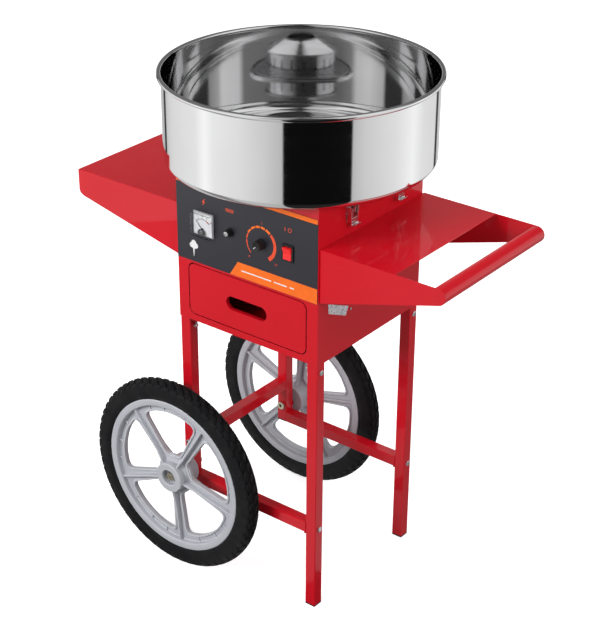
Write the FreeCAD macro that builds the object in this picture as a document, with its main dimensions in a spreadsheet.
"""Cotton candy machine on a two-wheeled cart, in millimetres.

The frame stands on the floor plane Z = 0 with the spinner axis on the Z axis.
X runs from the plain shelf (negative) to the push handle (positive), the control
panel faces -Y, and the wheel axles lie along Y.
"""

import FreeCAD, Part
import os
import re
import Sketcher

Vector = FreeCAD.Vector
Rotation = FreeCAD.Rotation
doc = FreeCAD.newDocument("cotton_candy_machine")
sheet = doc.addObject("Spreadsheet::Sheet", "dims")

# Driving dimensions. Heights are measured from the floor.
DIMENSIONS = {
    # sheet-metal body
    "body_wide": 330, "body_deep": 322, "wall": 1.5, "cart_floor": 539, "split_height": 662,
    "deck_height": 855, "shelf_top": 771.5,
    # square tube frame
    "tube": 23, "tube_wall": 1.5, "tube_round": 1.6, "leg_inset": 1, "short_leg_foot": 167,
    "rail_height": 178.5, "axle_rail_height": 258, "end_plate": 3, "cap_plate": 3, "cap_plug": 12,
    "socket_tube": 19.4, "socket_length": 44, "leg_bolt_height": 522,
    # bolts of the frame
    "bolt_radius": 3, "bolt_hole": 3.2, "bolt_head": 5.5, "bolt_head_thick": 3.2, "bolt_length": 32,
    "nut_across": 10, "nut_thick": 5,
    # shelves and push handle
    "shelf_front": 154.5, "shelf_rear": 166, "shelf_reach": 425.5, "lip_depth": 52.5,
    "shelf_root_depth": 108, "tray_reach": 323, "handle_front": 157.5, "handle_radius": 15.5,
    "flange_slope": 16.6,
    "shelf_corner": 10, "hook_depth": 60, "shelf_screw_drop": 25,
    # wheels, local Z along the axle and pointing away from the cart
    "axle_height": 205, "wheel_offset": 200, "tyre_radius": 205, "rim_radius": 165,
    "tyre_half": 16.5, "rim_half": 14.5, "rim_lip": 151, "web_half": 3, "window_outer": 137,
    "window_inner": 44, "window_lip": 141, "window_lip_half": 5.5, "hub_radius": 31,
    "hub_outer": 25, "hub_inner": 33, "hub_recess": 16.5, "recess_depth": 13, "hub_bore": 8.06,
    "spoke_half": 8, "spoke_flare": 33, "rib_thick": 4, "rib_hub": 19, "rib_rim": 11,
    "front_spoke_angle": 59, "rear_spoke_angle": 59, "corner_outer": 18, "corner_inner": 9,
    "sleeve_radius": 8, "axle_radius": 5, "axle_head": 8.5, "axle_head_thick": 5,
    "axle_nut": 17, "axle_nut_thick": 8,
    # drawer
    "drawer_half": 138, "drawer_low": 554.5, "drawer_high": 658.8, "drawer_gap": 2,
    "drawer_corner": 13, "drawer_deep": 290, "drawer_tray_half": 130, "drawer_wall": 1.2,
    "slot_half": 48, "slot_radius": 14, "slot_height": 605, "runner_height": 557,
    # control panel
    "panel_low": 665.5, "panel_high": 829, "panel_thick": 0.8, "control_height": 747.4,
    "meter_place": -97.7, "meter_height": 748.5, "meter_side": 46, "meter_deep": 12,
    "meter_barrel": 18.5, "needle_length": 19, "fuse_place": -36, "fuse_height": 749.5,
    "knob_place": 37.2, "knob_radius": 10.5, "knob_deep": 15, "switch_place": 98,
    "switch_height": 747.5, "switch_wide": 26, "switch_tall": 33, "rocker_half_wide": 8.7,
    "rocker_half_tall": 12,
    # bowl
    "bowl_radius": 252, "bowl_sheet": 1.2, "bowl_corner": 15, "bowl_hole": 90, "collar": 6,
    "rim_bead": 4.7, "rim_height": 1021.3, "rim_centre": 255.3, "flare_start": 1008,
    # spinner head
    "disc_radius": 86, "disc_height": 858.5, "disc_thick": 2.5, "band_radius": 61.6,
    "band_sheet": 1.2, "band_top": 900, "lid_radius": 62.4, "lid_eye": 24, "lid_top": 923,
    "lid_edge": 901.3, "lid_bead": 1.6, "heater_radius": 54, "post_circle": 57,
    # motor
    "shaft_radius": 6, "motor_radius": 45, "motor_low": 716, "motor_high": 796,
    "bracket_half": 74, "bracket_deep": 70, "bracket_thick": 3, "foot_height": 843,
    "isolator_radius": 8, "ring_radius": 20,
    # toggle latches, in a local frame with X pointing out of the cabinet side
    "latch_place": 72, "latch_half": 11, "pivot_out": 9.5, "pivot_height": 822,
    "bail_pivot_out": 4.8, "bail_pivot_height": 813, "bail_top_out": 9.2, "bail_top": 846,
    "bail_half": 7, "wire": 1.2, "lever_low": 797,
    # service side
    "cover_half": 110, "cover_low": 700, "cover_high": 840, "inlet_place": -135,
    "inlet_height": 690,
}
for row, (alias, number) in enumerate(DIMENSIONS.items(), start=1):
    sheet.set(f"A{row}", alias)
    sheet.set(f"B{row}", str(number))
    sheet.setAlias(f"B{row}", alias)
doc.recompute()

nodes = []


def value(alias):
    """The number that the sheet holds under an alias."""
    return float(sheet.get(alias))


def bind(obj, prop, text):
    """Bind a property to a formula written with the sheet's aliases."""
    linked = re.sub(r"[a-z][a-z_]*", lambda m: f"dims.{m[0]}" if m[0] in DIMENSIONS else m[0], str(text))
    obj.setExpression(prop, linked)


def place(obj, spot, rotation=None):
    """Turn an object, then bind the three coordinates of its placement."""
    if rotation:
        obj.Placement = FreeCAD.Placement(Vector(), rotation)
    for axis, text in zip("xyz", spot):
        bind(obj, f"Placement.Base.{axis}", text)
    return obj


def node(obj, name):
    """Register an object as a finished sub-part."""
    obj.Label = name
    nodes.append(obj)
    return obj


def box(size, corner, name="block"):
    block = doc.addObject("Part::Box", name)
    for prop, text in zip(("Length", "Width", "Height"), size):
        bind(block, prop, text)
    return place(block, corner)


TURNS = {"x": Rotation(Vector(0, 1, 0), 90), "y": Rotation(Vector(1, 0, 0), -90), "z": None}


def cylinder(radius, height, base, axis="z", name="rod"):
    rod = doc.addObject("Part::Cylinder", name)
    bind(rod, "Radius", radius)
    bind(rod, "Height", height)
    return place(rod, base, TURNS[axis])


def cut(base, tools, name="cut"):
    """The base with every tool taken away."""
    result = doc.addObject("Part::Cut", name)
    result.Base = base
    result.Tool = tools[0] if len(tools) == 1 else fuse(tools, "cutters")
    result.Refine = True
    return result


def fuse(shapes, name="fusion"):
    result = doc.addObject("Part::MultiFuse", name)
    result.Shapes = shapes
    result.Refine = True
    return result


def compound(shapes, name="group"):
    """Several separate solids kept as one sub-part."""
    result = doc.addObject("Part::Compound", name)
    result.Links = shapes
    return result


def fillet(base, radius, chosen, name="rounded"):
    """Round the edges of the base that the test function accepts."""
    doc.recompute()
    result = doc.addObject("Part::Fillet", name)
    result.Base = base
    result.Edges = [(i, radius, radius) for i, edge in enumerate(base.Shape.Edges, 1) if chosen(edge)]
    base.Visibility = False
    return result


def along(axis):
    """A test for straight edges that run along one axis."""
    unit = {"x": Vector(1, 0, 0), "y": Vector(0, 1, 0), "z": Vector(0, 0, 1)}[axis]

    def test(edge):
        straight = edge.Curve.TypeId == "Part::GeomLine"
        return straight and abs(edge.tangentAt(edge.FirstParameter).dot(unit)) > 0.999

    return test


def origin_plane(body, role):
    return next(plane for plane in body.Origin.OriginFeatures if plane.Role == role)


def new_sketch(body, role):
    sketch = body.newObject("Sketcher::SketchObject", "outline")
    sketch.AttachmentSupport = [(origin_plane(body, role), "")]
    sketch.MapMode = "FlatFace"
    return sketch


def number_of(text):
    """The present value of a formula, used to lay a sketch out before it is constrained."""
    probe = doc.addObject("Part::Vertex", "probe")
    bind(probe, "X", text)
    doc.recompute([probe])
    result = probe.X.Value
    doc.removeObject(probe.Name)
    return result


def outline(body, role, corners):
    """A closed polygon whose corners are all fixed by formulas."""
    sketch = new_sketch(body, role)
    spots = [Vector(number_of(x), number_of(y), 0) for x, y in corners]
    count = len(corners)
    for i in range(count):
        sketch.addGeometry(Part.LineSegment(spots[i], spots[(i + 1) % count]), False)
    for i in range(count):
        sketch.addConstraint(Sketcher.Constraint("Coincident", i, 2, (i + 1) % count, 1))
    for i, corner in enumerate(corners):
        for kind, text, size in zip(("DistanceX", "DistanceY"), corner, (spots[i].x, spots[i].y)):
            at = sketch.addConstraint(Sketcher.Constraint(kind, -1, 1, i, 1, size))
            bind(sketch, f"Constraints[{at}]", text)
    return sketch


def new_body(name):
    return doc.addObject("PartDesign::Body", name)


def revolved(corners, name="turned"):
    """A body turned about its local Z axis from a polygon of (radius, height) corners."""
    body = new_body(name)
    sketch = outline(body, "XZ_Plane", corners)
    turn = body.newObject("PartDesign::Revolution", "turn")
    turn.Profile = sketch
    turn.ReferenceAxis = (sketch, ["V_Axis"])
    turn.Angle = 360
    return body


PLATE_TURN = {"XZ_Plane": 1, "YZ_Plane": 0, "XY_Plane": 2}


def plate(role, corners, thick, start, name="plate"):
    """A flat polygon of sheet on an origin plane, its thickness centred on start + thick / 2."""
    body = new_body(name)
    sketch = outline(body, role, corners)
    pad = body.newObject("PartDesign::Pad", "pad")
    pad.Profile = sketch
    pad.Midplane = True
    bind(pad, "Length", thick)
    spot = ["0", "0", "0"]
    spot[PLATE_TURN[role]] = f"{start} + {thick} / 2"
    return place(body, spot)


# ---------------------------------------------------------------- sheet-metal body

def hollow_box(wide, deep, low, high, name):
    """A box shell with a floor and four walls, open at the top."""
    outer = box((wide, deep, f"{high} - {low}"), (f"-{wide} / 2", f"-{deep} / 2", low))
    inner = box(
        (f"{wide} - 2 * wall", f"{deep} - 2 * wall", f"{high} - {low}"),
        (f"-{wide} / 2 + wall", f"-{deep} / 2 + wall", f"{low} + wall"),
    )
    return cut(outer, [inner], name)


def rounded_window(half, low, high, radius, front, deep):
    """A cutter with four rounded corners, for an opening in the front wall."""
    block = box((f"2 * ({half})", deep, f"({high}) - ({low})"), (f"-({half})", front, low))
    return fillet(block, radius, along("y"))


SHELF_SCREWS = (-100, 5, 110)


def side_screw_holes():
    """Holes through both side walls for the screws that hold the shelves."""
    start, height = "-body_wide / 2 - 10", "shelf_top - shelf_screw_drop"
    return [
        cylinder("2.1", "body_wide + 20", (start, str(y), height), "x")
        for y in SHELF_SCREWS
    ]


def cover_corners():
    heights = ("cover_low + 8", "cover_high - 8")
    return [(x, z) for x in ("-cover_half + 8", "cover_half - 8") for z in heights]


def panel_cutouts():
    """Cutters for the controls, through the panel and the front wall."""
    front = "-body_deep / 2 - 5"
    return [
        cylinder("meter_barrel + 0.5", "10", ("meter_place", front, "meter_height"), "y"),
        cylinder("6.3", "10", ("fuse_place", front, "fuse_height"), "y"),
        cylinder("4", "10", ("knob_place", front, "control_height"), "y"),
        box(
            ("switch_wide - 4", "10", "switch_tall - 4"),
            ("switch_place - switch_wide / 2 + 2", front, "switch_height - switch_tall / 2 + 2"),
        ),
    ]


def build_body():
    cart = hollow_box("body_wide", "body_deep", "cart_floor", "split_height", "cart_shell")
    mouth = rounded_window(
        "drawer_half + drawer_gap", "drawer_low - drawer_gap", "drawer_high + drawer_gap",
        value("drawer_corner") + value("drawer_gap"), "-body_deep / 2 - 5", "10",
    )
    node(cut(cart, [mouth]), "cart_cabinet")

    shell = hollow_box("body_wide", "body_deep", "split_height", "deck_height - wall", "housing_shell")
    service = box(
        ("2 * cover_half - 30", "10", "cover_high - cover_low - 30"),
        ("-cover_half + 15", "body_deep / 2 - 5", "cover_low + 15"),
    )
    inlet = box(("28", "10", "20.5"), ("inlet_place - 14", "body_deep / 2 - 5", "inlet_height - 10.25"))
    screws = [cylinder("2.1", "10", (x, "body_deep / 2 - 5", z), "y") for x, z in cover_corners()]
    node(cut(shell, panel_cutouts() + [service, inlet] + screws + side_screw_holes()), "machine_housing")

    deck = box(("body_wide", "body_deep", "wall"), ("-body_wide / 2", "-body_deep / 2", "deck_height - wall"))
    node(cut(deck, [cylinder("40", "20", ("0", "0", "deck_height - 10"))]), "deck_plate")

    panel = box(
        ("body_wide - 2", "panel_thick", "panel_high - panel_low"),
        ("-body_wide / 2 + 1", "-body_deep / 2 - panel_thick", "panel_low"),
    )
    node(cut(panel, panel_cutouts()), "control_panel")

    cover = box(
        ("2 * cover_half", "1.2", "cover_high - cover_low"), ("-cover_half", "body_deep / 2", "cover_low")
    )
    vents = [
        box(("120", "10", "3.5"), ("-60", "body_deep / 2 - 5", f"cover_low + {35 + 10 * i}"))
        for i in range(8)
    ]
    holes = [cylinder("2.1", "10", (x, "body_deep / 2 - 5", z), "y") for x, z in cover_corners()]
    node(cut(cover, vents + holes), "rear_cover")


# ---------------------------------------------------------------- shelves and handle

def shelf_side(corners, start, name):
    """One tapered side flange of a shelf, standing in a plane of constant Y."""
    return plate("XZ_Plane", corners, "wall", start, name)


def build_left_shelf():
    span = "shelf_rear + shelf_front"
    top = box(
        ("shelf_reach - body_wide / 2", span, "wall"), ("-shelf_reach", "-shelf_front", "shelf_top - wall")
    )
    corners = [
        ("-body_wide / 2", "shelf_top - wall / 2"), ("-shelf_reach", "shelf_top - wall / 2"),
        ("-shelf_reach", "shelf_top - lip_depth + shelf_corner"),
        ("-shelf_reach + 0.3 * shelf_corner", "shelf_top - lip_depth + 0.3 * shelf_corner"),
        ("-shelf_reach + shelf_corner", "shelf_top - lip_depth - 1"),
        ("-body_wide / 2", "shelf_top - shelf_root_depth"),
    ]
    sides = [
        shelf_side(corners, "-shelf_front", "front_side"),
        shelf_side(corners, "shelf_rear - wall", "rear_side"),
    ]
    lip = box(
        ("wall", span, "lip_depth - shelf_corner"),
        ("-shelf_reach", "-shelf_front", "shelf_top - lip_depth + shelf_corner"),
    )
    hook = box(
        ("wall", f"{span} - 2 * wall", "hook_depth"),
        ("-body_wide / 2 - wall", "-shelf_front + wall", "shelf_top - hook_depth"),
    )
    node(cut(fuse([top, lip, hook] + sides), side_screw_holes()), "left_shelf")


def build_right_shelf():
    span = "shelf_rear + handle_front"
    axis_x = "shelf_reach - handle_radius"
    axis_z = "shelf_top - handle_radius"
    top = box(
        ("tray_reach - body_wide / 2", span, "wall"), ("body_wide / 2", "-handle_front", "shelf_top - wall")
    )
    touch_x = f"{axis_x} + handle_radius * sin(flange_slope)"
    touch_z = f"{axis_z} - handle_radius * cos(flange_slope)"
    corners = [
        ("body_wide / 2", "shelf_top"), (axis_x, "shelf_top"), (touch_x, touch_z),
        ("body_wide / 2", f"{touch_z} - ({touch_x} - body_wide / 2) * tan(flange_slope)"),
    ]
    parts = [top]
    for start in ("-handle_front", "shelf_rear - wall"):
        parts.append(shelf_side(corners, start, "side"))
        parts.append(cylinder("handle_radius", "wall", (axis_x, start, axis_z), "y"))
    parts.append(box(
        ("wall", f"{span} - 2 * wall", "hook_depth"),
        ("body_wide / 2", "-handle_front + wall", "shelf_top - hook_depth"),
    ))
    node(cut(fuse(parts), side_screw_holes()), "right_shelf")

    tube = cylinder("handle_radius", f"{span} - 2 * wall", (axis_x, "-handle_front + wall", axis_z), "y")
    bore = cylinder("handle_radius - wall", span, (axis_x, "-handle_front", axis_z), "y")
    node(cut(tube, [bore]), "push_handle")


# ---------------------------------------------------------------- tube frame

LEG_SPOTS = {
    "front_left_leg": ("-body_wide / 2 + leg_inset", "-body_deep / 2 + leg_inset", "short_leg_foot"),
    "rear_left_leg": ("-body_wide / 2 + leg_inset", "body_deep / 2 - leg_inset - tube", "short_leg_foot"),
    "front_right_leg": ("body_wide / 2 - leg_inset - tube", "-body_deep / 2 + leg_inset", "0"),
    "rear_right_leg": ("body_wide / 2 - leg_inset - tube", "body_deep / 2 - leg_inset - tube", "0"),
}
BOLT_RUN = {"x": (1, 0, 0), "-x": (-1, 0, 0), "y": (0, 1, 0), "-y": (0, -1, 0)}


def square_tube(size, corner, axis, name="tube_stock"):
    """Square tube with rounded outer edges, along one axis."""
    outer = fillet(box(size, corner), value("tube_round"), along(axis))
    inner_size = list(size)
    inner_corner = list(corner)
    for i in range(3):
        if "xyz"[i] != axis:
            inner_size[i] = f"{size[i]} - 2 * tube_wall"
            inner_corner[i] = f"{corner[i]} + tube_wall"
    return cut(outer, [box(inner_size, inner_corner)], name)


def bolt_holes():
    """Every hole that the frame bolts and axle bolts need, as cutters."""
    front = "-body_deep / 2 + leg_inset + tube / 2"
    rear = "body_deep / 2 - leg_inset - tube / 2"
    left = "-body_wide / 2 + leg_inset + tube / 2"
    cutters = []
    for y in (front, rear):
        for height in ("leg_bolt_height", "rail_height"):
            cutters.append(cylinder("bolt_hole", "body_wide + 20", ("-body_wide / 2 - 10", y, height), "x"))
    for radius, height in (("bolt_hole", "axle_rail_height"), ("axle_radius + 0.2", "axle_height")):
        cutters.append(cylinder(radius, "body_deep + 20", (left, "-body_deep / 2 - 10", height), "y"))
    return cutters


def build_legs():
    for name, (x, y, foot) in LEG_SPOTS.items():
        stock = square_tube(
            ("tube", "tube", f"cart_floor - {foot} - cap_plate"), (x, y, f"{foot} + cap_plate"), "z"
        )
        node(cut(stock, bolt_holes()), name)

    caps = []
    sockets = []
    for x, y, foot in LEG_SPOTS.values():
        sole = fillet(box(("tube", "tube", "cap_plate"), (x, y, foot)), value("tube_round"), along("z"))
        plug = box(
            ("tube - 2 * tube_wall - 0.4", "tube - 2 * tube_wall - 0.4", "cap_plug - cap_plate"),
            (f"{x} + tube_wall + 0.2", f"{y} + tube_wall + 0.2", f"{foot} + cap_plate"),
        )
        caps.append(fuse([sole, plug]) if foot == "0" else cut(fuse([sole, plug]), bolt_holes()))
        inset = "(tube - socket_tube) / 2"
        corner = (f"{x} + {inset}", f"{y} + {inset}", "cart_floor - socket_length")
        stub = square_tube(("socket_tube", "socket_tube", "socket_length"), corner, "z")
        sockets.append(cut(stub, bolt_holes()))
    node(compound(caps), "leg_end_caps")
    node(compound(sockets), "leg_sockets")


def build_rails():
    inner_left = "-body_wide / 2 + leg_inset + tube"
    length = "body_wide - 2 * leg_inset - 2 * tube"
    low = "rail_height - tube / 2"
    for name, y in (
        ("front_rail", "-body_deep / 2 + leg_inset"),
        ("rear_rail", "body_deep / 2 - leg_inset - tube"),
    ):
        stock = square_tube((f"{length} - end_plate", "tube", "tube"), (inner_left, y, low), "x")
        closed = box(("end_plate", "tube - 2 * tube_wall", "tube - 2 * tube_wall"),
                     (inner_left, f"{y} + tube_wall", f"{low} + tube_wall"))
        flange = box(("end_plate", "tube + 2", "tube + 3"),
                     (f"{inner_left} + {length} - end_plate", f"{y} - 1", f"{low} - 1.5"))
        node(cut(fuse([stock, closed, flange]), bolt_holes()), name)

    x = "-body_wide / 2 + leg_inset"
    y = "-body_deep / 2 + leg_inset + tube"
    low = "axle_rail_height - tube / 2"
    length = "body_deep - 2 * leg_inset - 2 * tube"
    stock = square_tube(("tube", length, "tube"), (x, y, low), "y")
    inner = "tube - 2 * tube_wall"
    ends = [
        box((inner, "end_plate", inner), (f"{x} + tube_wall", spot, f"{low} + tube_wall"))
        for spot in (y, f"{y} + {length} - end_plate")
    ]
    node(cut(fuse([stock] + ends), bolt_holes()), "axle_rail")


def bolt_and_nut(spot, turn, nut_gap):
    """A pan-head bolt along local Z, head at the origin, with its nut nut_gap below the head."""
    shank = cylinder("bolt_radius", "bolt_length", ("0", "0", "-bolt_length"))
    head = cylinder("bolt_head", "bolt_head_thick", ("0", "0", "0"))
    slug = doc.addObject("Part::Prism", "nut_blank")
    slug.Polygon = 6
    bind(slug, "Circumradius", "nut_across / 2 / cos(30)")
    bind(slug, "Height", "nut_thick")
    place(slug, ("0", "0", f"-{nut_gap} - nut_thick"))
    nut = cut(slug, [cylinder("bolt_radius", "60", ("0", "0", "-50"))])
    pair = compound([fillet_head(fuse([shank, head])), nut], "bolt_set")
    return place(pair, spot, turn)


def fillet_head(blank):
    """Round the outer edge of a bolt head."""
    radius = value("bolt_head")
    height = value("bolt_head_thick")

    def crown(edge):
        circle = edge.Curve.TypeId == "Part::GeomCircle" and abs(edge.Curve.Radius - radius) < 0.01
        return circle and abs(edge.Curve.Center.z - height) < 0.01

    return fillet(blank, 1.5, crown)


def build_frame_bolts():
    out_x = Rotation(Vector(0, 1, 0), 90)
    in_x = Rotation(Vector(0, 1, 0), -90)
    toward_front = Rotation(Vector(1, 0, 0), 90)
    toward_rear = Rotation(Vector(1, 0, 0), -90)
    front = "-body_deep / 2 + leg_inset + tube / 2"
    rear = "body_deep / 2 - leg_inset - tube / 2"
    left_out = "-body_wide / 2 + leg_inset"
    right_out = "body_wide / 2 - leg_inset"
    bolts = []
    for y in (front, rear):
        bolts.append(bolt_and_nut((left_out, y, "leg_bolt_height"), in_x, "tube"))
        bolts.append(bolt_and_nut((right_out, y, "leg_bolt_height"), out_x, "tube"))
        bolts.append(bolt_and_nut((right_out, y, "rail_height"), out_x, "(tube + end_plate)"))
        bolts.append(bolt_and_nut((left_out, y, "rail_height"), in_x, "(tube + end_plate)"))
    left = "-body_wide / 2 + leg_inset + tube / 2"
    for y, turn in (("-body_deep / 2 + leg_inset", toward_front), ("body_deep / 2 - leg_inset", toward_rear)):
        bolts.append(bolt_and_nut((left, y, "axle_rail_height"), turn, "(tube + end_plate)"))
    node(compound(bolts), "frame_bolts")


# ---------------------------------------------------------------- wheels and axles

def turned_copies(shape, count, start):
    """Copies of one shape spread evenly about the Z axis."""
    copies = []
    for i in range(count):
        copy = compound([shape], "copy")
        copy.Placement = FreeCAD.Placement(Vector(), Rotation(Vector(0, 0, 1), start + 360 / count * i))
        copies.append(copy)
    return copies


def wheel_window():
    """A cutter for the opening between two spokes, centred on the X axis."""
    apex = "spoke_half / sin(spoke_flare)"
    spread = f"(rim_radius - {apex}) * tan(spoke_flare)"
    wedge = plate("XY_Plane", [(apex, "0"), ("rim_radius", spread), ("rim_radius", f"-({spread})")],
                  "60", "-30", "wedge")
    ring = cut(
        cylinder("window_outer", "60", ("0", "0", "-30")), [cylinder("window_inner", "80", ("0", "0", "-40"))]
    )
    sector = doc.addObject("Part::Common", "sector")
    sector.Base = wedge
    sector.Tool = ring
    rounded = fillet(sector, value("corner_outer"), near_radius(value("window_outer"), 1))
    return fillet(rounded, value("corner_inner"), near_radius(value("window_inner"), 1))


def body_fillet(body, radius, chosen):
    """Round edges of the body's present tip."""
    doc.recompute()
    base = body.Tip
    names = [f"Edge{i}" for i, edge in enumerate(base.Shape.Edges, 1) if chosen(edge)]
    rounding = body.newObject("PartDesign::Fillet", "rounding")
    rounding.Base = (base, names)
    bind(rounding, "Radius", radius)
    body.Tip = rounding
    return rounding


def near_radius(radius, slack):
    """A test for edges along Z whose middle is at one distance from the axis."""
    straight = along("z")

    def test(edge):
        if not straight(edge):
            return False
        middle = edge.CenterOfMass
        return abs((middle.x ** 2 + middle.y ** 2) ** 0.5 - radius) < slack

    return test


def build_wheel(side, spot, turn):
    """A moulded wheel with five T-section spokes, its tyre, and nothing else."""
    body = revolved([
        ("hub_bore", "-hub_inner"), ("hub_radius", "-hub_inner"), ("hub_radius", "-web_half"),
        ("rim_lip", "-web_half"), ("rim_lip", "-rim_half"), ("rim_radius", "-rim_half"),
        ("rim_radius", "rim_half"), ("rim_lip", "rim_half"), ("rim_lip", "web_half"),
        ("window_lip", "web_half"), ("window_lip", "window_lip_half"),
        ("window_outer + 0.6", "window_lip_half"), ("window_outer + 0.6", "web_half"),
        ("hub_radius", "web_half"), ("hub_radius", "hub_outer"),
        ("hub_recess", "hub_outer"), ("hub_recess", "hub_outer - recess_depth"),
        ("hub_bore", "hub_outer - recess_depth"),
    ], f"{side}_wheel_blank")
    rib = plate("XZ_Plane", [
        ("hub_radius - 2", "-rib_hub"), ("hub_radius - 2", "rib_hub"),
        ("rim_lip + 1", "rib_rim"), ("rim_lip + 1", "-rib_rim"),
    ], "rib_thick", "-rib_thick / 2", "rib")
    web = cut(body, turned_copies(wheel_window(), 5, 36))
    node(place(fuse([web] + turned_copies(rib, 5, 0)), spot, turn), f"{side}_wheel")

    shoulder = 8
    tyre = revolved([
        ("rim_radius", "-rim_half"), ("rim_radius + 6", "-tyre_half"),
        (f"tyre_radius - {shoulder}", "-tyre_half + 3"), ("tyre_radius", "-tyre_half + 11"),
        ("tyre_radius", "tyre_half - 11"), (f"tyre_radius - {shoulder}", "tyre_half - 3"),
        ("rim_radius + 6", "tyre_half"), ("rim_radius", "rim_half"),
    ], f"{side}_tyre_blank")
    place(tyre, spot, turn)
    node(tyre, f"{side}_tyre")


def build_wheels():
    left = "-body_wide / 2 + leg_inset + tube / 2"
    spin = {side: Rotation(Vector(0, 0, 1), value(f"{side}_spoke_angle")) for side in ("front", "rear")}
    facing = {"front": Rotation(Vector(1, 0, 0), 90), "rear": Rotation(Vector(1, 0, 0), -90)}
    for side, sign in (("front", "-"), ("rear", "")):
        build_wheel(side, (left, f"{sign}wheel_offset", "axle_height"), facing[side] * spin[side])

    sleeves = []
    bolts = []
    for side, sign in (("front", "-"), ("rear", "")):
        leg_face = f"{sign}(body_deep / 2 - leg_inset)"
        sleeve = revolved([
            ("axle_radius", "0"), ("14", "0"), ("14", "3"), ("sleeve_radius", "3"),
            ("sleeve_radius", "wheel_offset - body_deep / 2 + leg_inset + hub_outer - recess_depth + 0.6"),
            ("axle_radius", "wheel_offset - body_deep / 2 + leg_inset + hub_outer - recess_depth + 0.6"),
        ], "sleeve")
        sleeves.append(place(sleeve, (left, leg_face, "axle_height"), facing[side]))
        nut_start = "wheel_offset - body_deep / 2 + leg_inset + hub_outer - recess_depth + 0.6"
        shank = cylinder("axle_radius", f"tube + {nut_start} + axle_nut_thick", ("0", "0", "-tube"))
        head = cylinder("axle_head", "axle_head_thick", ("0", "0", "-tube - axle_head_thick"))
        socket = doc.addObject("Part::Prism", "hex_socket")
        socket.Polygon = 6
        socket.Circumradius = 4
        socket.Height = 3.5
        place(socket, ("0", "0", "-tube - axle_head_thick"))
        nut = doc.addObject("Part::Prism", "axle_nut")
        nut.Polygon = 6
        bind(nut, "Circumradius", "axle_nut / 2 / cos(30)")
        bind(nut, "Height", "axle_nut_thick - 1")
        place(nut, ("0", "0", nut_start))
        hole = cylinder("axle_radius", "120", ("0", "0", "-30"))
        pair = compound([cut(fuse([shank, head]), [socket]), cut(nut, [hole])], "axle_set")
        bolts.append(place(pair, (left, leg_face, "axle_height"), facing[side]))
    node(compound(sleeves), "axle_sleeves")
    node(compound(bolts), "axle_bolts")


# ---------------------------------------------------------------- drawer

def build_drawer():
    front = "-body_deep / 2"
    face = rounded_window("drawer_half", "drawer_low", "drawer_high", value("drawer_corner"), front, "wall")
    skirt = rounded_window("drawer_half - 0.3", "drawer_low + 0.3", "drawer_high - 0.3",
                           value("drawer_corner") - 0.3, front, "9")
    skirt_bore = rounded_window("drawer_half - 1.5", "drawer_low + 1.5", "drawer_high - 1.5",
                                value("drawer_corner") - 1.5, f"{front} - 1", "20")
    tray_low = "runner_height + 2"
    tray = box(("2 * drawer_tray_half", "drawer_deep", "drawer_high - drawer_low - 22"),
               ("-drawer_tray_half", f"{front} + wall", tray_low))
    bay = box(
        ("2 * (drawer_tray_half - drawer_wall)", "drawer_deep - 2 * drawer_wall", "200"),
        ("-drawer_tray_half + drawer_wall", f"{front} + wall + drawer_wall", f"{tray_low} + drawer_wall"),
    )
    slot = fillet(
        box(("2 * slot_half", "20", "2 * slot_radius"),
            ("-slot_half", f"{front} - 10", "slot_height - slot_radius")),
        value("slot_radius") - 0.01, along("y"),
    )
    hem = fillet(
        box(("2 * slot_half + 2 * drawer_wall", "9", "2 * slot_radius + 2 * drawer_wall"),
            ("-slot_half - drawer_wall", front, "slot_height - slot_radius - drawer_wall")),
        value("slot_radius") + value("drawer_wall") - 0.01, along("y"),
    )
    node(cut(fuse([face, cut(skirt, [skirt_bore]), cut(tray, [bay]), hem]), [slot]), "drawer")

    rails = []
    for x_wall, x_shelf in (("body_wide / 2 - 2 * wall", "body_wide / 2 - wall - 40"),
                            ("-body_wide / 2 + wall", "-body_wide / 2 + wall")):
        upright = box(("wall", "drawer_deep - 20", "26"), (x_wall, f"{front} + 12", "runner_height"))
        ledge = box(("40", "drawer_deep - 20", "wall"), (x_shelf, f"{front} + 12", "runner_height"))
        rails.append(fuse([upright, ledge]))
    node(compound(rails), "drawer_runners")


# ---------------------------------------------------------------- bowl

LATCH_SIDES = {
    "front_right": (1, -1), "rear_right": (1, 1), "front_left": (-1, -1), "rear_left": (-1, 1),
}
HALF_TURN = Rotation(Vector(0, 0, 1), 180)


def latch_spot(corner):
    """Where a latch's local frame sits: on the cabinet side, at floor height."""
    across, along_side = LATCH_SIDES[corner]
    x = "body_wide / 2" if across > 0 else "-body_wide / 2"
    y = "latch_place" if along_side > 0 else "-latch_place"
    return (x, y, "0"), (Rotation() if across > 0 else HALF_TURN)


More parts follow.
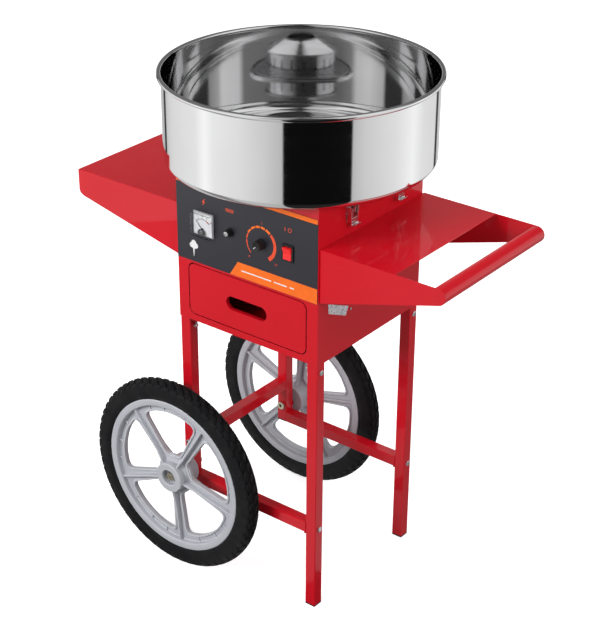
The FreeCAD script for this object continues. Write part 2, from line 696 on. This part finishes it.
def build_bowl():
    base = "deck_height"
    wall_in = "bowl_radius - bowl_sheet"
    shell = revolved([
        ("bowl_hole", base), ("bowl_radius", base), ("bowl_radius", "flare_start"),
        ("rim_centre - 3", "rim_height - 2"), ("rim_centre - 3.6", "rim_height - 0.6"),
        (wall_in, "flare_start + 0.5"), (wall_in, f"{base} + bowl_sheet"),
        ("bowl_hole + bowl_sheet", f"{base} + bowl_sheet"), ("bowl_hole + bowl_sheet", f"{base} + collar"),
        ("bowl_hole", f"{base} + collar"),
    ], "bowl_shell")

    def corner_edge(radius, height):
        def test(edge):
            circle = edge.Curve.TypeId == "Part::GeomCircle"
            if not circle or abs(edge.Curve.Radius - radius) > 0.01:
                return False
            return abs(edge.Curve.Center.z - height) < 0.01
        return test

    body_fillet(shell, "bowl_corner", corner_edge(value("bowl_radius"), value("deck_height")))
    body_fillet(shell, "bowl_corner - bowl_sheet", corner_edge(
        value("bowl_radius") - value("bowl_sheet"), value("deck_height") + value("bowl_sheet")))
    bead = doc.addObject("Part::Torus", "bead")
    bind(bead, "Radius1", "rim_centre")
    bind(bead, "Radius2", "rim_bead")
    place(bead, ("0", "0", "rim_height"))
    node(fuse([shell, bead]), "bowl")

    catches = []
    for corner in LATCH_SIDES:
        spot, turn = latch_spot(corner)
        tab = box(("22", "10", "wall"), ("3", "-5", "deck_height - wall"))
        drop = box(("wall", "10", "15"), ("6", "-5", "deck_height - wall - 15"))
        catches.append(place(fuse([tab, drop]), spot, turn))
    node(compound(catches), "bowl_catches")


# ---------------------------------------------------------------- toggle latches

def build_latches():
    bases = []
    for corner in LATCH_SIDES:
        spot, turn = latch_spot(corner)
        back = box(("1", "2 * latch_half", "34"), ("0", "-latch_half", "pivot_height - 24"))
        parts = [back]
        for side in (-1, 1):
            ear_y = "latch_half - 1" if side > 0 else "-latch_half"
            parts.append(box(("pivot_out + 3.5", "1", "11"), ("0", ear_y, "pivot_height - 5.5")))
            stub_y = "latch_half - 2.3" if side > 0 else "-latch_half"
            parts.append(cylinder("1.5", "2.3", ("pivot_out", stub_y, "pivot_height"), "y"))
        bases.append(place(fuse(parts), spot, turn))

        # The lever: a plate with two arms that carry both pivots, and a curled tip.
        lug_y = {-1: "-latch_half + 1.2", 1: "latch_half - 2.4"}
        blade = box(
            ("1.2", "2 * latch_half - 2.4", "pivot_height - 15 - lever_low"),
            ("pivot_out + 1.8", "-latch_half + 1.2", "lever_low"),
        )
        tip = cut(
            cylinder("4", "2 * latch_half - 2.4", ("pivot_out + 5.8", "-latch_half + 1.2", "lever_low"), "y"),
            [
                cylinder("2.8", "40", ("pivot_out + 5.8", "-20", "lever_low"), "y"),
                box(("20", "40", "20"), ("pivot_out + 1.8", "-20", "lever_low")),
            ],
        )
        arms = [
            box(("9.5", "1.2", "29.5"), ("pivot_out - 6.5", lug_y[side], "pivot_height - 25"))
            for side in (-1, 1)
        ]
        holes = [
            cylinder("1.56", "40", ("pivot_out", "-20", "pivot_height"), "y"),
            cylinder("wire + 0.06", "40", ("bail_pivot_out", "-20", "bail_pivot_height"), "y"),
        ]
        lever = place(cut(fuse([blade, tip] + arms), holes), spot, turn)
        node(lever, f"{corner}_latch_lever")

        # The bail: a wire loop that swings on the lever and reaches up to the bowl's catch.
        rise = "(bail_top - bail_pivot_height)"
        reach = "(bail_top_out - bail_pivot_out)"
        parts = [cylinder("wire", "2 * bail_half", ("bail_top_out", "-bail_half", "bail_top"), "y")]
        for side in (-1, 1):
            wire_y = "bail_half" if side > 0 else "-bail_half"
            leg = doc.addObject("Part::Cylinder", "bail_leg")
            bind(leg, "Radius", "wire")
            bind(leg, "Height", f"sqrt({rise} * {rise} + {reach} * {reach})")
            lean = Vector(value("bail_top_out") - value("bail_pivot_out"), 0,
                          value("bail_top") - value("bail_pivot_height"))
            parts.append(place(leg, ("bail_pivot_out", wire_y, "bail_pivot_height"),
                               Rotation(Vector(0, 0, 1), lean)))
            stub_y = "bail_half" if side > 0 else "-bail_half - 2.8"
            parts.append(cylinder("wire", "2.8", ("bail_pivot_out", stub_y, "bail_pivot_height"), "y"))
            for x, z in (("bail_top_out", "bail_top"), ("bail_pivot_out", "bail_pivot_height")):
                ball = doc.addObject("Part::Sphere", "bend")
                bind(ball, "Radius", "wire")
                parts.append(place(ball, (x, wire_y, z)))
        node(place(fuse(parts), spot, turn), f"{corner}_latch_bail")
    node(compound(bases), "latch_bases")


# ---------------------------------------------------------------- spinner and motor

def build_spinner():
    band_low = "(disc_height + disc_thick)"
    disc = revolved([
        ("shaft_radius", "disc_height - 12"), ("16", "disc_height - 12"), ("16", "disc_height"),
        ("disc_radius", "disc_height"), ("disc_radius", band_low), ("shaft_radius", band_low),
    ])
    post = cylinder("3", "40.5", ("post_circle", "0", f"{band_low} - 1"))
    node(fuse([disc] + turned_copies(post, 3, 30)), "head_disc")

    band = cut(
        cylinder("band_radius", f"band_top - {band_low}", ("0", "0", band_low)),
        [cylinder("band_radius - band_sheet", "100", ("0", "0", f"{band_low} - 5"))],
    )
    slit = box(("10", "1.6", "22"), ("band_radius - 5", "-0.8", f"{band_low} + 8"))
    node(cut(band, turned_copies(slit, 36, 0)), "head_band")

    heater = cut(
        cylinder("heater_radius", "24", ("0", "0", f"{band_low} + 6")),
        [cylinder("heater_radius - 3", "60", ("0", "0", f"{band_low} - 10"))],
    )
    node(heater, "heater_ring")

    skin = "1.3"
    dome = revolved([
        ("lid_eye", "lid_top"), ("lid_eye", f"lid_top - {skin}"), ("lid_eye + 12", f"lid_top - 5 - {skin}"),
        ("lid_radius - 1.2", f"lid_edge - {skin}"), ("lid_radius", "lid_edge"),
        ("lid_eye + 12", "lid_top - 5"),
    ])
    bead = doc.addObject("Part::Torus", "lid_bead")
    bind(bead, "Radius1", "lid_radius + 0.6")
    bind(bead, "Radius2", "lid_bead")
    place(bead, ("0", "0", "lid_edge"))
    node(fuse([dome, bead]), "head_lid")

    rotor = revolved([
        ("0", "motor_low - 10"), ("shaft_radius", "motor_low - 10"), ("shaft_radius", "motor_low + 12"),
        ("33", "motor_low + 12"), ("33", "motor_high - 12"), ("shaft_radius", "motor_high - 12"),
        ("shaft_radius", "disc_height + 8"), ("0", "disc_height + 8"),
    ])
    node(rotor, "motor_shaft")

    low = "motor_high + 10"
    node(revolved([
        ("shaft_radius", low), ("14", low), ("14", f"{low} + 4"), ("ring_radius", f"{low} + 4"),
        ("ring_radius", f"{low} + 10"), ("14", f"{low} + 10"), ("14", f"{low} + 16"),
        ("ring_radius", f"{low} + 16"), ("ring_radius", f"{low} + 22"), ("14", f"{low} + 22"),
        ("14", f"{low} + 26"), ("shaft_radius", f"{low} + 26"),
    ]), "slip_rings")


def build_motor():
    node(revolved([
        ("shaft_radius + 0.05", "motor_low"), ("motor_radius", "motor_low"), ("motor_radius", "motor_high"),
        ("shaft_radius + 0.05", "motor_high"), ("shaft_radius + 0.05", "motor_high - 6"),
        ("motor_radius - 7", "motor_high - 6"), ("motor_radius - 7", "motor_low + 6"),
        ("shaft_radius + 0.05", "motor_low + 6"),
    ]), "motor_casing")

    parts = [box(("2 * bracket_half", "bracket_deep", "bracket_thick"),
                 ("-bracket_half", "-bracket_deep / 2", "motor_high"))]
    isolators = []
    for side in (-1, 1):
        arm_x = "bracket_half - bracket_thick" if side > 0 else "-bracket_half"
        foot_x = "bracket_half - bracket_thick" if side > 0 else "-bracket_half - 26 + bracket_thick"
        parts.append(box(("bracket_thick", "bracket_deep", "foot_height - motor_high"),
                         (arm_x, "-bracket_deep / 2", "motor_high")))
        foot_spot = (foot_x, "-bracket_deep / 2", "foot_height")
        parts.append(box(("26", "bracket_deep", "bracket_thick"), foot_spot))
        for y in (-22, 22):
            isolators.append(cylinder(
                "isolator_radius", "deck_height - wall - foot_height - bracket_thick",
                (f"{side} * (bracket_half + 12)", str(y), "foot_height + bracket_thick"),
            ))
    hole = cylinder("8", "40", ("0", "0", "motor_high - 20"))
    node(cut(fuse(parts), [hole]), "motor_bracket")
    node(compound(isolators), "motor_isolators")

    holder = box(("18", "20", "36"), ("34", "-10", "motor_high + bracket_thick"))
    node(holder, "brush_holder")
    brushes = [
        box(("34 - ring_radius - 0.35", "6", "4"), ("ring_radius + 0.35", "-3", f"motor_high + {rise}"))
        for rise in (15, 27)
    ]
    node(compound(brushes), "carbon_brushes")


# ---------------------------------------------------------------- controls

def build_controls():
    face = "-body_deep / 2 - panel_thick"
    side = "meter_side"
    left = "meter_place - meter_side / 2"
    low = "meter_height - meter_side / 2"
    flange = box((side, "3", side), (left, f"{face} - 3", low))
    barrel = cylinder("meter_barrel", "24", ("meter_place", face, "meter_height"), "y")
    node(fuse([flange, barrel]), "voltmeter_case")
    card = box((f"{side} - 4", "0.8", f"{side} - 4"), (f"{left} + 2", f"{face} - 3.8", f"{low} + 2"))
    node(card, "voltmeter_dial")
    lens = box((side, "meter_deep - 3", side), (left, f"{face} - meter_deep", low))
    lens = fillet(lens, 2, along("y"))
    inside = box(
        (f"{side} - 3", "meter_deep - 4.5", f"{side} - 3"),
        (f"{left} + 1.5", f"{face} - meter_deep + 1.5", f"{low} + 1.5"),
    )
    node(cut(lens, [inside]), "voltmeter_cover")
    pivot = cylinder("2.2", "2", ("0", "-5.8", "0"), "y")
    pointer = box(("0.9", "0.5", "needle_length"), ("-0.45", "-5.4", "0"))
    needle = fuse([pivot, pointer])
    place(needle, ("meter_place", face, "meter_height - 9"), Rotation(Vector(0, 1, 0), -45))
    node(needle, "voltmeter_needle")

    holder = fuse([
        cylinder("9", "2.5", ("fuse_place", f"{face} - 2.5", "fuse_height"), "y"),
        cylinder("6", "28", ("fuse_place", f"{face} - 1", "fuse_height"), "y"),
    ])
    bore = cylinder("4.05", "22", ("fuse_place", f"{face} - 5", "fuse_height"), "y")
    node(cut(holder, [bore]), "fuse_holder")
    cap = cylinder("7.2", "9", ("fuse_place", f"{face} - 11.8", "fuse_height"), "y")
    slot = box(("14.4", "1.2", "1.6"), ("fuse_place - 7.2", f"{face} - 11.8", "fuse_height - 0.8"))
    plug = cylinder("4", "14", ("fuse_place", f"{face} - 3", "fuse_height"), "y")
    node(cut(fuse([cap, plug]), [slot]), "fuse_cap")

    regulator = fuse([
        box(("34", "16", "40"), ("knob_place - 17", "-body_deep / 2 + wall", "control_height - 20")),
        cylinder("3", "17.5", ("knob_place", "-body_deep / 2 - 11.5", "control_height"), "y"),
        cylinder("3.8", "8", ("knob_place", "-body_deep / 2 - 2", "control_height"), "y"),
    ])
    node(regulator, "heat_regulator")
    skirt = revolved([
        ("0", "0"), ("knob_radius", "0"), ("knob_radius", "3"), ("knob_radius - 1.2", "knob_deep - 1"),
        ("knob_radius - 2.2", "knob_deep"), ("0", "knob_deep"),
    ])
    mark = box(("7", "1.4", "0.6"), ("knob_radius - 9.5", "-0.7", "knob_deep"))
    knob = cut(fuse([skirt, mark]), [
        cylinder("3.05", "12", ("0", "0", "-1")),
        cylinder("4.2", "2.3", ("0", "0", "-0.5")),
    ])
    turn = Rotation(Vector(1, 0, 0), 90) * Rotation(Vector(0, 0, 1), -136)
    node(place(knob, ("knob_place", f"{face} - 0.6", "control_height"), turn), "temperature_knob")

    wide = "switch_wide"
    tall = "switch_tall"
    x = "switch_place - switch_wide / 2"
    z = "switch_height - switch_tall / 2"
    bezel = fillet(box((wide, "2.6", tall), (x, f"{face} - 2.6", z)), 2, along("y"))
    rear = box((f"{wide} - 4.4", "22", f"{tall} - 4.4"), (f"{x} + 2.2", f"{face} - 0.1", f"{z} + 2.2"))
    well = box(
        ("2 * rocker_half_wide + 0.8", "16", "2 * rocker_half_tall + 2.4"),
        ("switch_place - rocker_half_wide - 0.4", f"{face} - 5", "switch_height - rocker_half_tall - 1.2"),
    )
    pin = cylinder("1.2", f"{wide} - 5", (f"{x} + 2.5", f"{face} - 0.4", "switch_height"), "x")
    node(fuse([cut(fuse([bezel, rear]), [well]), pin]), "switch_frame")
    tip = "rocker_half_tall"
    rocker = plate("YZ_Plane", [
        ("3.5", f"-{tip} + 2.5"), ("-5.4", f"-{tip}"), ("-3.2", "0"), ("-5.4", tip), ("3.5", f"{tip} - 2.5"),
    ], "2 * rocker_half_wide", "0", "rocker")
    place(rocker, ("switch_place", f"{face} - 0.4", "switch_height"), Rotation(Vector(1, 0, 0), 8))
    pivot_hole = cylinder("1.25", wide, (x, f"{face} - 0.4", "switch_height"), "x")
    node(cut(rocker, [pivot_hole]), "power_rocker")

    back = "body_deep / 2"
    shell = fuse([
        box(("48", "3", "24"), ("inlet_place - 24", back, "inlet_height - 12")),
        box(("27", "30", "19.5"), ("inlet_place - 13.5", f"{back} - 28", "inlet_height - 9.75")),
    ])
    mouth = box(("24", "17", "16"), ("inlet_place - 12", f"{back} - 13", "inlet_height - 8"))
    pins = [
        box(("2", "14", "4"), (f"inlet_place + {dx - 1}", f"{back} - 14", "inlet_height - 3"))
        for dx in (-7, 0, 7)
    ]
    node(fuse([cut(shell, [mouth])] + pins), "power_inlet")


def build_screws():
    """Pan-head screws that hold the shelves and the rear cover."""
    def screw(spot, turn):
        head = cylinder("4", "2.2", ("0", "0", "0"))
        shank = cylinder("2", "10", ("0", "0", "-10"))
        return place(fuse([head, shank]), spot, turn)

    screws = []
    for y in SHELF_SCREWS:
        for side, turn in (("", 90), ("-", -90)):
            spot = (f"{side}(body_wide / 2 + wall)", str(y), "shelf_top - shelf_screw_drop")
            screws.append(screw(spot, Rotation(Vector(0, 1, 0), turn)))
    for x, z in cover_corners():
        screws.append(screw((x, "body_deep / 2 + 1.2", z), Rotation(Vector(1, 0, 0), -90)))
    node(compound(screws), "sheet_screws")


def check_and_write():
    """Refuse to write anything unless every object and every sub-part is sound."""
    doc.recompute()
    for obj in doc.Objects:
        if "Invalid" in obj.State or "Error" in obj.State:
            raise RuntimeError(f"{obj.Name} failed: {obj.State}")
    for obj in nodes:
        if obj.Shape.isNull() or not obj.Shape.isValid() or not obj.Shape.Solids:
            raise RuntimeError(f"{obj.Label} has no valid solid")
    os.makedirs("parts", exist_ok=True)
    for obj in nodes:
        obj.Shape.exportStep(os.path.join("parts", f"{obj.Label}.step"))
    print(len(nodes), "sub-parts written")


build_body()
build_left_shelf()
build_right_shelf()
build_legs()
build_rails()
build_frame_bolts()
build_wheels()
build_drawer()
build_bowl()
build_latches()
build_spinner()
build_motor()
build_controls()
build_screws()
check_and_write()
